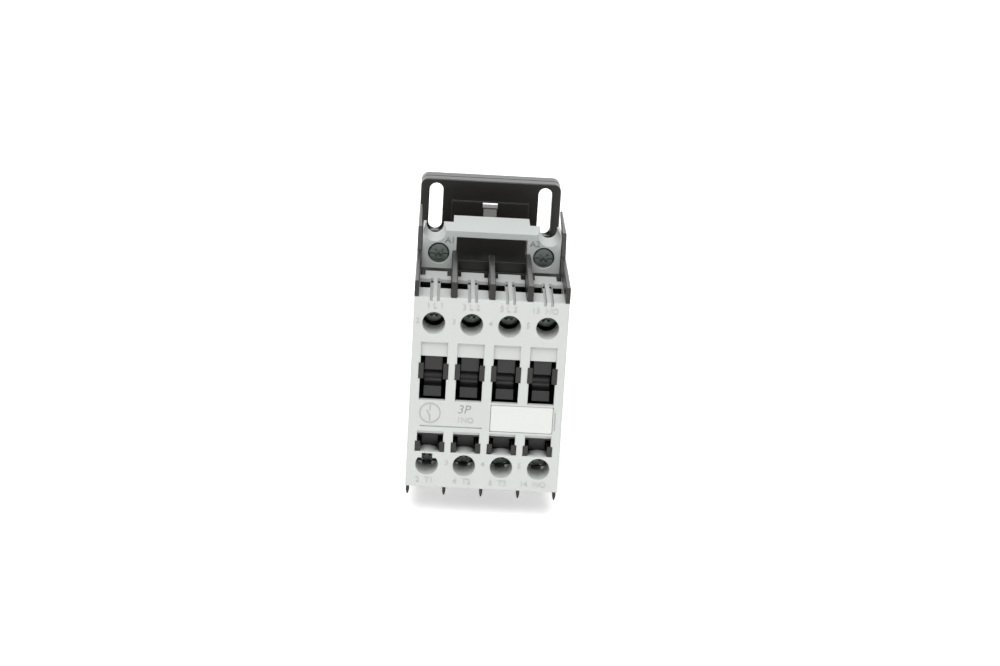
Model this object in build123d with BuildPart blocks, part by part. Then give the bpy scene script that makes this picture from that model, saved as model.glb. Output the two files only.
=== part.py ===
"""Four-pole DIN rail contactor, in millimetres.

X runs across the poles, -Y points out of the front face and +Z points up the panel.
The origin is the centre of the face that seats on the rail. Heights called h are
measured out of that face towards the front, so a point at height h has y = -h.
"""

import os

from build123d import *

os.makedirs("parts", exist_ok=True)

# ---- Driving dimensions -------------------------------------------------------------

POLE_PITCH = 11.0            # terminal to terminal
CONTACT_STEP_IN = 0.4        # the contacts and windows are this much closer than the terminals
SIDE_MARGIN = 0.5            # outside the outer poles
RAIL_WIDTH = 35.0            # top hat rail
RAIL_EDGE = 1.0              # thickness of the rail's flange
RUNNING = 0.25               # between the moving carrier and the housings
FITTING = 0.12               # between two fixed pieces
MOULDED_EDGE = 0.2           # radius on the edges of the mouldings
BROKEN_EDGE = 0.25           # chamfer on the edges of the dark mouldings

# base plate and magnet box
BASE_HEIGHT = 81.0
BASE_CORNER = 2.5
BASE_REAR = 5.5              # from the rail seat back to the panel
BASE_WEB_TOP = 3.8
BASE_WEB = 3.8
RIM_WALL = 1.6
SLOT_SPACING_X = 35.0
SLOT_SPACING_Z = 62.6
SLOT_WIDTH = 4.4
SLOT_LENGTH = 15.8
SLOT_STEP = 0.8              # height at which a slot's square end begins
BOX_WIDTH = 43.0
BOX_HEIGHT = 45.2
BOX_WALL = 1.6
BOX_TOP = 38.5               # height of the joint with the contact housing
BOX_FLOOR = 2.0
RIB = 1.2                    # ribs behind the plate
RIB_X = 11.5
PAD_X = 12.4                 # raised pad above the box
PAD_TOP_Z = 33.8
PAD_RISE = 1.0
VENT_X = 2.4                 # small window above the pad's ramp
VENT_Z = (32.0, 33.6)
RAMP_X = 2.15
RAMP_TOP_Z = 31.7
RAMP_CREST = (4.6, 27.6)     # height above the plate, and level

# contact housing
SKIRT_WALL = 1.8
PLATE_THICK = 3.0
PLATE_TOP = 54.0             # where the front housing seats
FLOOR_TOP = 58.5
BARRIER = 1.6
FIN = 1.7
FIN_TOP_Z = 28.9
FIN_BACK = 47.0
CENTRE_FIN_BACK = 50.0
LOWER_FIN = 1.0
LOWER_FIN_DROP = 3.1
WING = 1.3
WING_TOP_Z = 35.5
WING_BACK = 17.5
WING_ARM = 1.3               # height of the slender arm at the back of a wing
WING_ARM_FRONT = 33.5
UPPER_HOOK_LENGTH = 4.7
LOWER_HOOK_LENGTH = 3.0
HOOK_THICK = 0.85
HOOK_BARB = 0.55
LUG = 1.1

# front housing
FRONT = 81.5                 # height of the front face
FRONT_TOP_Z = 24.18
FRONT_BOTTOM_Z = -34.48
FRONT_WALL = 1.5
TOP_WALL = 1.1
SIDE_WALL = 1.5
HOLE = 6.6                   # screwdriver holes
SLEEVE_WALL = 0.8
KEY_DROP = 1.3               # flat top of the keyed hole, below the round one's top
KEY_WIDTH = 3.1
SLEEVE_LENGTH = 8.5
UPPER_SCREW_Z = 16.3
LOWER_SCREW_Z = -27.4
WINDOW_WIDTH = 7.7
WINDOW_TOP_Z = 10.45
WINDOW_BOTTOM_Z = -7.3
WINDOW_LEDGE = 4.45
LOWER_WINDOW_TOP_Z = -16.95
LOWER_WINDOW_BRIDGE = 0.7    # left between a lower window and the hole below it
LOWER_WINDOW_LEDGE = 0.9
UPPER_HOOK_Z = 1.6
LOWER_HOOK_Z = -21.8
ENTRY_FRONT = 9.4            # wire entries, measured back from the front face
ENTRY_DEPTH = 9.4
ENTRY_WIDTH = 3.1
POST = 3.0
POST_DEEP = 1.7
POST_GROOVE = 0.75
POST_GROOVE_X = 1.0
POST_GROOVE_DEEP = 1.2
LABEL_X = (1.55, 19.75)
LABEL_Z = (-16.05, -8.0)
LABEL_DEEP = 0.7
TAB_X = (20.25, 20.6)        # narrow groove beside the label
TAB_Z = (-15.0, -9.4)
TAB_DEEP = 0.3
RULE_X = (-19.0, -0.9)       # rule under the blank panel
RULE_Z = (-15.5, -15.15)
RULE_DEEP = 0.25

# contacts
TRAVEL = 5.5
CONTACT_GAP = 4.0
CLOSED_GAP = 0.02
BAR_WIDTH = 5.2
TERMINAL_WIDTH = 7.6
TERMINAL_STEP = 3.1          # the terminals stand this far out from the contacts
TERMINAL_HALF_Z = 4.1
BAR_THICK = 1.5
TIP_RADIUS = 1.5
TIP_THICK = 0.9
TIP_Z = 5.9
BRIDGE_WIDTH = 3.2
BRIDGE_THICK = 1.2
BRIDGE_HALF_Z = 7.6
COLUMN_WIDTH = 5.2
COLUMN_HALF_Z = 2.6
SCREW_RADIUS = 1.75
CASE_SCREW_RADIUS = 1.25
CASE_SCREW_X = 17.9
CASE_SCREW_Z = 19.0
CASE_HEAD_RADIUS = 2.2
SCREW_HEAD_RADIUS = 3.0
SCREW_HEAD = 2.4
CLAMP_THICK = 1.2
CLAMP_HALF_Z = 3.3

# magnet
CORE_HALF_Z = 6.0
CORE_YOKE = 5.0
CORE_LEG = 15.5
CENTRE_LEG = 9.0
OUTER_LEG = 4.5
CORE_WIDTH = 34.0
ARMATURE_YOKE = 6.5
ARMATURE_LEG = 10.0
POLE_GAP = 0.05              # left between the pole faces when closed
CUSHION = 1.0
BOBBIN_WALL = 0.8
FLANGE = 1.0
PIN_RADIUS = 1.5

# coil terminal block
COIL_FRONT = 46.5
COIL_DEEP = 10.8
COIL_BOTTOM_Z = 22.95
COIL_TOP_Z = 34.87
COIL_BAR_Z = 33.0
COIL_INNER_X = 10.7
COIL_OUTER_X = 21.0
COIL_WALL = 1.4
COIL_TONGUE_X = 11.7
COIL_TONGUE_BACK = 27.5
COIL_SCREW_X = 15.95
COIL_SCREW_Z = 27.73
COIL_HOLE = 6.5
NOTCH_X = 17.4               # funnels over the panel screws
NOTCH_RADIUS = 3.5
NOTCH_BACK_RADIUS = 2.6
NOTCH_BOTTOM_Z = 31.35
NOTCH_TALL = 14.0

# rail latch
LATCH_WIDTH = 12.0
LATCH_TRAVEL = 3.5
LATCH_THICK = 3.6
LATCH_TONGUE = 1.0
LIP = 1.85
LIP_THICK = 2.2

# springs
RETURN_SPRING = (1.9, 0.5, 7)      # mean radius, wire, turns
CONTACT_SPRING = (1.15, 0.36, 5)
LATCH_SPRING = (1.35, 0.45, 7)

# ---- Worked out from them -----------------------------------------------------------

WIDTH = 4 * POLE_PITCH + 2 * SIDE_MARGIN
CONTACT_PITCH = POLE_PITCH - CONTACT_STEP_IN
POLES = (-1.5, -0.5, 0.5, 1.5)
SCREW_X = [n * POLE_PITCH for n in POLES]
CONTACT_X = [n * CONTACT_PITCH for n in POLES]
BARRIER_X = [-POLE_PITCH, 0.0, POLE_PITCH]
BOX_HALF_Z = BOX_HEIGHT / 2
CHAMBER_X = BOX_WIDTH / 2 - BOX_WALL
CHAMBER_Z = BOX_HALF_Z - BOX_WALL
PLATE_BACK = PLATE_TOP - PLATE_THICK
SEAT_Z = RAIL_WIDTH / 2 + RUNNING
INNER_X = WIDTH / 2 - SIDE_WALL
LOWER_WINDOW_BOTTOM_Z = LOWER_SCREW_Z + HOLE / 2 + LOWER_WINDOW_BRIDGE
INNER_TOP_Z = FRONT_TOP_Z - TOP_WALL
INNER_BOTTOM_Z = FRONT_BOTTOM_Z + TOP_WALL

# the magnet, stacked up from the floor of its box
CORE_BACK = BOX_FLOOR + CUSHION
CORE_SEAT = CORE_BACK + CORE_YOKE
CORE_FACE = CORE_SEAT + CORE_LEG
ARMATURE_FACE = CORE_FACE + TRAVEL + POLE_GAP
ARMATURE_BACK = ARMATURE_FACE + ARMATURE_LEG
ARMATURE_FRONT = ARMATURE_BACK + ARMATURE_YOKE
BOBBIN_BACK = CORE_SEAT + 2 * FITTING
BOBBIN_FRONT = ARMATURE_BACK - TRAVEL - RUNNING
YOKE_FRONT = PLATE_BACK - RUNNING

# the contacts, stacked up from the floor of the contact housing
BAR_BACK = FLOOR_TOP + 0.6
BAR_FRONT = BAR_BACK + BAR_THICK
FIXED_TIP_FACE = BAR_FRONT + TIP_THICK
MOVING_TIP_FACE = FIXED_TIP_FACE + CONTACT_GAP + CLOSED_GAP
BRIDGE_BACK = MOVING_TIP_FACE + TIP_THICK
BRIDGE_FRONT = BRIDGE_BACK + BRIDGE_THICK
HEAD_BACK = BRIDGE_FRONT + 5.5
HEAD_FRONT = FRONT - 1.9
TERMINAL_FRONT = BAR_FRONT + TERMINAL_STEP
CLAMP_BACK = TERMINAL_FRONT + 3.3
CLAMP_FRONT = CLAMP_BACK + CLAMP_THICK


# ---- Shapes used by several pieces ----------------------------------------------------


def block(x, h, z, mode=Mode.ADD):
    """Add or cut a block between two widths, two heights out of the rail and two levels."""
    with Locations((sum(x) / 2, -sum(h) / 2, sum(z) / 2)):
        Box(x[1] - x[0], h[1] - h[0], z[1] - z[0], mode=mode)


def blocks(centres, width, h, z, mode=Mode.ADD):
    """The same block at several places across the width."""
    with Locations(*[(x, -sum(h) / 2, sum(z) / 2) for x in centres]):
        Box(width, h[1] - h[0], z[1] - z[0], mode=mode)


def rounds(centres, radius, h, mode=Mode.ADD):
    """Round bars or holes that run front to back at (x, z) centres."""
    with Locations(*[(x, -sum(h) / 2, z) for x, z in centres]):
        Cylinder(radius, h[1] - h[0], rotation=(90, 0, 0), mode=mode)


def side_profile(points, x, mode=Mode.ADD):
    """Extrude an outline of (h, z) points across the width from x[0] to x[1]."""
    with BuildSketch(Plane.YZ.offset(x[0])) as outline:
        with BuildLine():
            Polyline(*[(-h, z) for h, z in points], close=True)
        make_face()
    extrude(outline.sketch, amount=x[1] - x[0], mode=mode)


def frame(x, z, wall, h, mode=Mode.ADD):
    """A rectangular tube of an outer half width and half height, with an even wall."""
    with BuildSketch(Plane.XZ.offset(h[0])) as outline:
        Rectangle(2 * x, 2 * z)
        Rectangle(2 * (x - wall), 2 * (z - wall), mode=Mode.SUBTRACT)
    extrude(outline.sketch, amount=h[1] - h[0], mode=mode)


def coil_spring(mean_radius, wire, turns, foot, direction, length):
    """A helical compression spring that stands on its foot and fills a length."""
    with BuildLine() as path:
        Helix(
            (length - wire) / turns,
            length - wire,
            mean_radius,
            center=foot + direction * (wire / 2),
            direction=direction,
        )
    with BuildSketch(Plane(path.line @ 0, z_dir=path.line % 0)) as section:
        Circle(wire / 2)
    sweep(section.sketch, path=path.line)


def save(piece, name):
    """Name a finished piece and write it."""
    piece.part.label = name
    export_step(piece.part, f"parts/{name}.step")


# ---- Base: mounting plate, rail seat and magnet box -----------------------------------

CASE_SCREWS = [(x, z) for x in (-CASE_SCREW_X, CASE_SCREW_X) for z in (-CASE_SCREW_Z, CASE_SCREW_Z)]
LATCH_FRONT = -(RAIL_EDGE + 0.3)
LATCH_BACK = LATCH_FRONT - LATCH_THICK
LATCH_MIDDLE = (LATCH_FRONT + LATCH_BACK) / 2
LATCH_GAP_X = LATCH_WIDTH / 2 + RUNNING
TONGUE_H = (LATCH_MIDDLE - 0.6, LATCH_MIDDLE + 0.6)
TONGUE_Z = (-36.0, -21.0)
GUIDE_WALL = 2.4
STOP_X = 1.8                 # the latch spring's stop
POST_Z = (-36.0, -34.2)
LEAD_X = 13.5                # the coil's leads, clear of the case screws
LEAD_WIDTH = 2.4
LEAD_H = 32.5

with BuildPart() as base_housing:
    with BuildSketch(Plane.XZ.offset(-BASE_REAR)):
        RectangleRounded(WIDTH, BASE_HEIGHT, BASE_CORNER)
    extrude(amount=BASE_REAR + BASE_WEB_TOP)
    chamfer(base_housing.faces().sort_by(Axis.Y)[0].edges(), BROKEN_EDGE)
    with BuildSketch(Plane.XZ.offset(-BASE_REAR)):
        RectangleRounded(WIDTH - 2 * RIM_WALL, BASE_HEIGHT - 2 * RIM_WALL, BASE_CORNER - RIM_WALL / 2)
    extrude(amount=BASE_REAR + BASE_WEB_TOP - BASE_WEB, mode=Mode.SUBTRACT)

    # the rail channel runs right across, with a wall above and below it
    rear_h = (-BASE_REAR, BASE_WEB_TOP - BASE_WEB)
    half_inside = WIDTH / 2 - RIM_WALL
    block((-WIDTH / 2, WIDTH / 2), (0, BASE_WEB_TOP), (-SEAT_Z, SEAT_Z))
    for level in ((SEAT_Z, SEAT_Z + RIM_WALL), (-SEAT_Z - RIM_WALL, -SEAT_Z)):
        block((-half_inside, half_inside), rear_h, level)
    block((-WIDTH, WIDTH), (-2 * BASE_REAR, 0), (-SEAT_Z, SEAT_Z), Mode.SUBTRACT)
    lip_h = (-RAIL_EDGE - 0.3 - LIP_THICK, -RAIL_EDGE - 0.3)
    blocks((-13.0, 13.0), 10.0, lip_h, (SEAT_Z - LIP, SEAT_Z))

    # ribs that stiffen the two ends behind the plate
    end_z = BASE_HEIGHT / 2 - RIM_WALL
    blocks((-RIB_X, RIB_X), RIB, rear_h, (SEAT_Z, end_z))
    blocks((-RIB_X, RIB_X), RIB, rear_h, (-end_z, -SEAT_Z))

    # guides for the rail latch, and the post that its spring pushes on
    guide_x = LATCH_GAP_X + GUIDE_WALL / 2
    blocks((-guide_x, guide_x), GUIDE_WALL, rear_h, (-BASE_HEIGHT / 2, -SEAT_Z))
    gap = (-LATCH_GAP_X, LATCH_GAP_X)
    block(gap, (-2 * BASE_REAR, LATCH_FRONT + RUNNING), (-BASE_HEIGHT, -SEAT_Z), Mode.SUBTRACT)
    groove_x = LATCH_GAP_X + LATCH_TONGUE
    block(
        (-groove_x, groove_x),
        (TONGUE_H[0] - RUNNING, TONGUE_H[1] + RUNNING),
        (-BASE_HEIGHT, TONGUE_Z[1] + RUNNING),
        Mode.SUBTRACT,
    )
    block((-STOP_X, STOP_X), (LATCH_BACK, BASE_WEB_TOP), POST_Z)

    # the magnet box, a raised pad above it and the ramp under its small window
    block((-BOX_WIDTH / 2, BOX_WIDTH / 2), (BASE_WEB_TOP - BASE_WEB, BOX_TOP), (-BOX_HALF_Z, BOX_HALF_Z))
    block((-CHAMBER_X, CHAMBER_X), (BOX_FLOOR, BOX_TOP), (-CHAMBER_Z, CHAMBER_Z), Mode.SUBTRACT)
    pad_front = BASE_WEB_TOP + PAD_RISE
    block((-PAD_X, PAD_X), (BASE_WEB_TOP, pad_front), (BOX_HALF_Z, PAD_TOP_Z))
    block((-VENT_X, VENT_X), (-BASE_REAR, pad_front), VENT_Z, Mode.SUBTRACT)
    side_profile(
        [
            (BASE_WEB_TOP, BOX_HALF_Z),
            (BASE_WEB_TOP, RAMP_TOP_Z),
            (pad_front + 0.2, RAMP_TOP_Z),
            (BASE_WEB_TOP + RAMP_CREST[0], RAMP_CREST[1]),
            (BASE_WEB_TOP + RAMP_CREST[0], BOX_HALF_Z),
        ],
        (-RAMP_X, RAMP_X),
    )
    # ribs that locate the fixed core
    for side in (-1, 1):
        rib_z = sorted((side * (CORE_HALF_Z + FITTING), side * (CORE_HALF_Z + 1.5)))
        for x in ((-CHAMBER_X, -CORE_WIDTH / 2 + 4), (CORE_WIDTH / 2 - 4, CHAMBER_X)):
            block(x, (BOX_FLOOR, 12.0), rib_z)

    # bosses and counterbored holes for the long case screws
    rounds(CASE_SCREWS, CASE_SCREW_RADIUS + 1.7, (BOX_FLOOR - 1, BOX_TOP))
    rounds(CASE_SCREWS, CASE_SCREW_RADIUS + FITTING, (-BASE_REAR, BOX_TOP), Mode.SUBTRACT)
    rounds(CASE_SCREWS, CASE_HEAD_RADIUS + FITTING, (-BASE_REAR, 2.2), Mode.SUBTRACT)

    # slots for the panel screws, opened out square in front at the end beside the box
    with BuildSketch(Plane.XZ.offset(-BASE_REAR)):
        with GridLocations(SLOT_SPACING_X, SLOT_SPACING_Z, 2, 2):
            SlotOverall(SLOT_LENGTH, SLOT_WIDTH, rotation=90)
    extrude(amount=BASE_REAR + BASE_WEB_TOP, mode=Mode.SUBTRACT)
    with BuildSketch(Plane.XZ.offset(SLOT_STEP)):
        with GridLocations(SLOT_SPACING_X, SLOT_SPACING_Z - SLOT_LENGTH + SLOT_WIDTH, 2, 2):
            RectangleRounded(SLOT_WIDTH, SLOT_WIDTH, 0.4)
    extrude(amount=BASE_WEB_TOP, mode=Mode.SUBTRACT)

    # slots for the coil's leads
    lead_h = (LEAD_H - 0.7, LEAD_H + 0.7)
    lead_z = (CHAMBER_Z - 1, BOX_HALF_Z + 1)
    blocks((-LEAD_X, LEAD_X), LEAD_WIDTH + 0.4, lead_h, lead_z, Mode.SUBTRACT)

    # the groove round the rim
    with BuildSketch(Plane.XZ.offset(-1.0)):
        RectangleRounded(WIDTH, BASE_HEIGHT, BASE_CORNER)
        RectangleRounded(WIDTH - 0.8, BASE_HEIGHT - 0.8, BASE_CORNER - 0.4, mode=Mode.SUBTRACT)
    extrude(amount=0.6, mode=Mode.SUBTRACT)
save(base_housing, "base_housing")


# ---- Rail latch and its spring --------------------------------------------------------

WINDOW_Z = (POST_Z[0] - 0.1, -24.0)

with BuildPart() as rail_latch:
    half = LATCH_WIDTH / 2
    nose = -SEAT_Z + LIP
    side_profile(
        [
            (LATCH_FRONT, nose),
            (LATCH_FRONT - 1.2, nose),
            (LATCH_BACK, nose - 2.0),
            (LATCH_BACK, -BASE_HEIGHT / 2 + 0.2),
            (LATCH_FRONT, -BASE_HEIGHT / 2 + 0.2),
        ],
        (-half, half),
    )
    block((-half - LATCH_TONGUE, half + LATCH_TONGUE), TONGUE_H, TONGUE_Z)
    window_h = (LATCH_BACK - 1, LATCH_FRONT + 1)
    block((-2.05, 2.05), window_h, WINDOW_Z, Mode.SUBTRACT)
    # the slot that a screwdriver pulls on
    block((-2.2, 2.2), window_h, (-39.0, -37.8), Mode.SUBTRACT)
save(rail_latch, "rail_latch")

with BuildPart() as latch_spring:
    foot = Vector(0, -LATCH_MIDDLE, POST_Z[1])
    coil_spring(*LATCH_SPRING, foot, Vector(0, 0, 1), WINDOW_Z[1] - POST_Z[1])
save(latch_spring, "latch_spring")


# ---- Magnet: fixed core, cushions, shading rings, bobbin and winding --------------------


def core(back, front, leg_to, centre_short):
    """An E-shaped stack of laminations: a yoke between two heights, with three legs."""
    low, high = sorted((front, leg_to))
    tip = 1 if leg_to > front else -1
    centre = sorted((front, leg_to - tip * centre_short))
    leg_x = (CORE_WIDTH - OUTER_LEG) / 2
    deep = (-CORE_HALF_Z, CORE_HALF_Z)
    block((-CORE_WIDTH / 2, CORE_WIDTH / 2), sorted((back, front)), deep)
    blocks((-leg_x, leg_x), OUTER_LEG, (low, high), deep)
    blocks((0.0,), CENTRE_LEG, centre, deep)


def ring_sketch(grow):
    """The outline of one shading ring, sunk in an outer pole face."""
    with BuildSketch(Plane.XZ.offset(CORE_FACE - 1.7)) as outline:
        with Locations(*[(x, -1.0) for x in (-RING_X, RING_X)]):
            Rectangle(3.4 + grow, 7.6 + grow)
            Rectangle(1.8 - grow, 6.0 - grow, mode=Mode.SUBTRACT)
    return outline.sketch


RING_X = (CORE_WIDTH - OUTER_LEG) / 2

with BuildPart() as fixed_core:
    core(CORE_BACK, CORE_SEAT, CORE_FACE, 0.1)
    extrude(ring_sketch(0.1), amount=3.0, mode=Mode.SUBTRACT)
save(fixed_core, "fixed_core")

with BuildPart() as shading_rings:
    extrude(ring_sketch(0.0), amount=1.6)
save(shading_rings, "shading_rings")

with BuildPart() as core_cushions:
    blocks((-13.0, 13.0), 6.0, (BOX_FLOOR, CORE_BACK), (-CORE_HALF_Z + 1, CORE_HALF_Z - 1))
save(core_cushions, "core_cushions")

TUBE_X = CENTRE_LEG / 2 + 2 * RUNNING
TUBE_Z = CORE_HALF_Z + 2 * RUNNING
FLANGE_X = CORE_WIDTH / 2 - OUTER_LEG - 0.6
FLANGE_Z = 13.5
WOUND = (BOBBIN_BACK + FLANGE, BOBBIN_FRONT - FLANGE)

with BuildPart() as coil_bobbin:
    frame(TUBE_X + BOBBIN_WALL, TUBE_Z + BOBBIN_WALL, BOBBIN_WALL, (BOBBIN_BACK, BOBBIN_FRONT))
    for flange_h in ((BOBBIN_BACK, WOUND[0]), (WOUND[1], BOBBIN_FRONT)):
        with BuildSketch(Plane.XZ.offset(flange_h[0])):
            RectangleRounded(2 * FLANGE_X, 2 * FLANGE_Z, 1.0)
            Rectangle(2 * TUBE_X, 2 * TUBE_Z, mode=Mode.SUBTRACT)
        extrude(amount=FLANGE)
save(coil_bobbin, "coil_bobbin")

with BuildPart() as coil_winding:
    with BuildSketch(Plane.XZ.offset(WOUND[0] + 0.05)):
        RectangleRounded(2 * FLANGE_X - 1.4, 2 * FLANGE_Z - 1.4, 4.0)
        Rectangle(2 * (TUBE_X + BOBBIN_WALL) + 0.1, 2 * (TUBE_Z + BOBBIN_WALL) + 0.1, mode=Mode.SUBTRACT)
    extrude(amount=WOUND[1] - WOUND[0] - 0.1)
save(coil_winding, "coil_winding")


# ---- Moving core, its pin and the contact carrier ----------------------------------------

PIN_H = (ARMATURE_BACK + ARMATURE_FRONT) / 2
CHEEK_Z = (CORE_HALF_Z + FITTING, CORE_HALF_Z + 2.4)
SPRING_Z = 10.9
SPRING_SEATS = [(0.0, -SPRING_Z), (0.0, SPRING_Z)]
COLUMN_X = COLUMN_WIDTH / 2
RAIL = 0.8                   # wall each side of the bridge's window
HEAD_TOP_Z = 5.7
HEAD_BOTTOM_Z = -6.8

with BuildPart() as moving_core:
    core(ARMATURE_FRONT, ARMATURE_BACK, ARMATURE_FACE, 0.1)
    with Locations((0, -PIN_H, 0)):
        Cylinder(PIN_RADIUS + 0.05, 2 * CORE_HALF_Z + 2, mode=Mode.SUBTRACT)
save(moving_core, "moving_core")

with BuildPart() as armature_pin:
    with Locations((0, -PIN_H, 0)):
        Cylinder(PIN_RADIUS, 2 * CHEEK_Z[1] - 0.4)
    chamfer(armature_pin.edges().filter_by(GeomType.CIRCLE), 0.3)
save(armature_pin, "armature_pin")

with BuildPart() as contact_carrier:
    half = CONTACT_X[-1] + COLUMN_X
    yoke_h = (ARMATURE_FRONT, YOKE_FRONT)
    block((-half, half), yoke_h, (-5.0, 5.0))
    block((-5.0, 5.0), yoke_h, (-CHEEK_Z[1], CHEEK_Z[1]))
    block((-3.0, 3.0), yoke_h, (-SPRING_Z - 2.1, SPRING_Z + 2.1))
    for level in (CHEEK_Z, (-CHEEK_Z[1], -CHEEK_Z[0])):
        block((-5.0, 5.0), (ARMATURE_BACK + 1.0, YOKE_FRONT), level)
    with Locations((0, -PIN_H, 0)):
        Cylinder(PIN_RADIUS + 0.05, 4 * CORE_HALF_Z, mode=Mode.SUBTRACT)
    spigot = RETURN_SPRING[0] - RETURN_SPRING[1] / 2 - 0.4
    rounds(SPRING_SEATS, spigot, (ARMATURE_FRONT - 1.5, ARMATURE_FRONT))

    # a column for each pole, with a window for its bridge and spring
    column_z = (-COLUMN_HALF_Z, COLUMN_HALF_Z)
    blocks(CONTACT_X, COLUMN_WIDTH, (YOKE_FRONT, HEAD_BACK), column_z)
    window = COLUMN_WIDTH - 2 * RAIL
    blocks(CONTACT_X, window, (BRIDGE_BACK - 0.1, HEAD_BACK), (-6.0, 6.0), Mode.SUBTRACT)

    # the heads seen in the front windows: a block above a saddle and a sloping foot
    with BuildSketch(Plane.YZ) as head:
        with BuildLine():
            foot = (-(HEAD_FRONT - 0.4), HEAD_BOTTOM_Z)
            brow = (-(HEAD_FRONT - 1.6), -4.0)
            slot_low = (-(HEAD_FRONT - 3.2), 0.5)
            Polyline(brow, foot, (-HEAD_BACK, HEAD_BOTTOM_Z), (-HEAD_BACK, HEAD_TOP_Z),
                     (-HEAD_FRONT, HEAD_TOP_Z), (-HEAD_FRONT, 1.6), (-(HEAD_FRONT - 5.4), 1.6),
                     (-(HEAD_FRONT - 5.4), 0.5), slot_low)
            ThreePointArc(slot_low, (-(HEAD_FRONT - 4.6), -1.9), brow)
        make_face()
    for x in CONTACT_X:
        extrude(head.sketch.moved(Location((x - COLUMN_X, 0, 0))), amount=COLUMN_WIDTH)
save(contact_carrier, "contact_carrier")

with BuildPart() as return_springs:
    for side in (-1, 1):
        foot = Vector(0, -BOBBIN_FRONT, side * SPRING_Z)
        coil_spring(*RETURN_SPRING, foot, Vector(0, -1, 0), ARMATURE_FRONT - BOBBIN_FRONT)
save(return_springs, "return_springs")


# ---- Contact bridges, their springs and the fixed contacts --------------------------------

TIPS = [(x, z) for x in CONTACT_X for z in (-TIP_Z, TIP_Z)]

with BuildPart() as contact_bridges:
    for x in CONTACT_X:
        with BuildSketch(Plane.XZ.offset(BRIDGE_BACK)):
            with Locations((x, 0)):
                SlotOverall(2 * BRIDGE_HALF_Z, BRIDGE_WIDTH, rotation=90)
        extrude(amount=BRIDGE_THICK)
save(contact_bridges, "contact_bridges")

with BuildPart() as moving_contact_tips:
    rounds(TIPS, TIP_RADIUS, (MOVING_TIP_FACE, BRIDGE_BACK))
save(moving_contact_tips, "moving_contact_tips")

with BuildPart() as contact_springs:
    for x in CONTACT_X:
        foot = Vector(x, -BRIDGE_FRONT, 0)
        coil_spring(*CONTACT_SPRING, foot, Vector(0, -1, 0), HEAD_BACK - BRIDGE_FRONT)
save(contact_springs, "contact_springs")


def contact_bars(screw_z):
    """Fixed contacts of one row: a terminal for the screw, stepped down to the tip."""
    side = 1 if screw_z > 0 else -1
    mitre = side * BAR_THICK * 0.414
    end = screw_z + side * TERMINAL_HALF_Z
    bend = screw_z - side * (CLAMP_HALF_Z + 0.1)
    low = bend - side * TERMINAL_STEP
    tip_end = side * (TIP_Z - TIP_RADIUS - 0.2)
    terminal_back = BAR_BACK + TERMINAL_STEP
    outline = [
        (TERMINAL_FRONT, end),
        (TERMINAL_FRONT, bend),
        (BAR_FRONT, low),
        (BAR_FRONT, tip_end),
        (BAR_BACK, tip_end),
        (BAR_BACK, low + mitre),
        (terminal_back, bend + mitre),
        (terminal_back, end),
    ]
    for x, screw_x in zip(CONTACT_X, SCREW_X):
        side_profile(outline, (x - BAR_WIDTH / 2, x + BAR_WIDTH / 2))
        wide = (screw_x - TERMINAL_WIDTH / 2, screw_x + TERMINAL_WIDTH / 2)
        block(wide, (terminal_back, TERMINAL_FRONT), sorted((bend + 2 * mitre, end)))
    holes = [(x, screw_z) for x in SCREW_X]
    rounds(holes, SCREW_RADIUS + 0.05, (terminal_back - 1, TERMINAL_FRONT + 1), Mode.SUBTRACT)


with BuildPart() as line_contacts:
    contact_bars(UPPER_SCREW_Z)
save(line_contacts, "line_contacts")

with BuildPart() as load_contacts:
    contact_bars(LOWER_SCREW_Z)
save(load_contacts, "load_contacts")

with BuildPart() as fixed_contact_tips:
    rounds(TIPS, TIP_RADIUS + 0.15, (BAR_FRONT, FIXED_TIP_FACE))
save(fixed_contact_tips, "fixed_contact_tips")


# ---- Terminal clamps and screws ------------------------------------------------------------


def clamp_plates(centres, half_x, half_z, back):
    """Square pressure plates with turned-up sides, under the heads of the screws."""
    for x, z in centres:
        block((x - half_x, x + half_x), (back, back + CLAMP_THICK), (z - half_z, z + half_z))
        block((x - half_x, x - half_x + 0.8), (back - 0.6, back), (z - half_z, z + half_z))
        block((x + half_x - 0.8, x + half_x), (back - 0.6, back), (z - half_z, z + half_z))
    hole_h = (back - 1, back + CLAMP_THICK + 1)
    rounds(centres, SCREW_RADIUS + 0.1, hole_h, Mode.SUBTRACT)


def clamp_screws(centres, head_radius, under_head, end):
    """Combination-head terminal screws: a straight slot across a star recess."""
    head_top = under_head + SCREW_HEAD
    rounds(centres, head_radius, (under_head, head_top))
    chamfer(edges().filter_by(GeomType.CIRCLE).group_by(Axis.Y)[0], BROKEN_EDGE)
    rounds(centres, SCREW_RADIUS, (end, under_head))
    slot_h = (head_top - 1.1, head_top)
    for x, z in centres:
        block((x - head_radius, x + head_radius), slot_h, (z - 0.45, z + 0.45), Mode.SUBTRACT)
        with BuildSketch(Plane.XZ.offset(head_top - 1.6)) as star:
            with Locations((x, z)):
                Rectangle(3.2, 0.9, rotation=45)
                Rectangle(3.2, 0.9, rotation=-45)
        extrude(star.sketch, amount=1.6, mode=Mode.SUBTRACT)


UPPER_SCREWS = [(x, UPPER_SCREW_Z) for x in SCREW_X]
LOWER_SCREWS = [(x, LOWER_SCREW_Z) for x in SCREW_X]
SCREW_END = BAR_BACK + TERMINAL_STEP - 2.2

with BuildPart() as line_clamps:
    clamp_plates(UPPER_SCREWS, 3.9, CLAMP_HALF_Z, CLAMP_BACK)
save(line_clamps, "line_clamps")

with BuildPart() as load_clamps:
    clamp_plates(LOWER_SCREWS, 3.9, CLAMP_HALF_Z, CLAMP_BACK)
save(load_clamps, "load_clamps")

with BuildPart() as line_screws:
    clamp_screws(UPPER_SCREWS, SCREW_HEAD_RADIUS, CLAMP_FRONT, SCREW_END)
save(line_screws, "line_screws")

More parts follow.
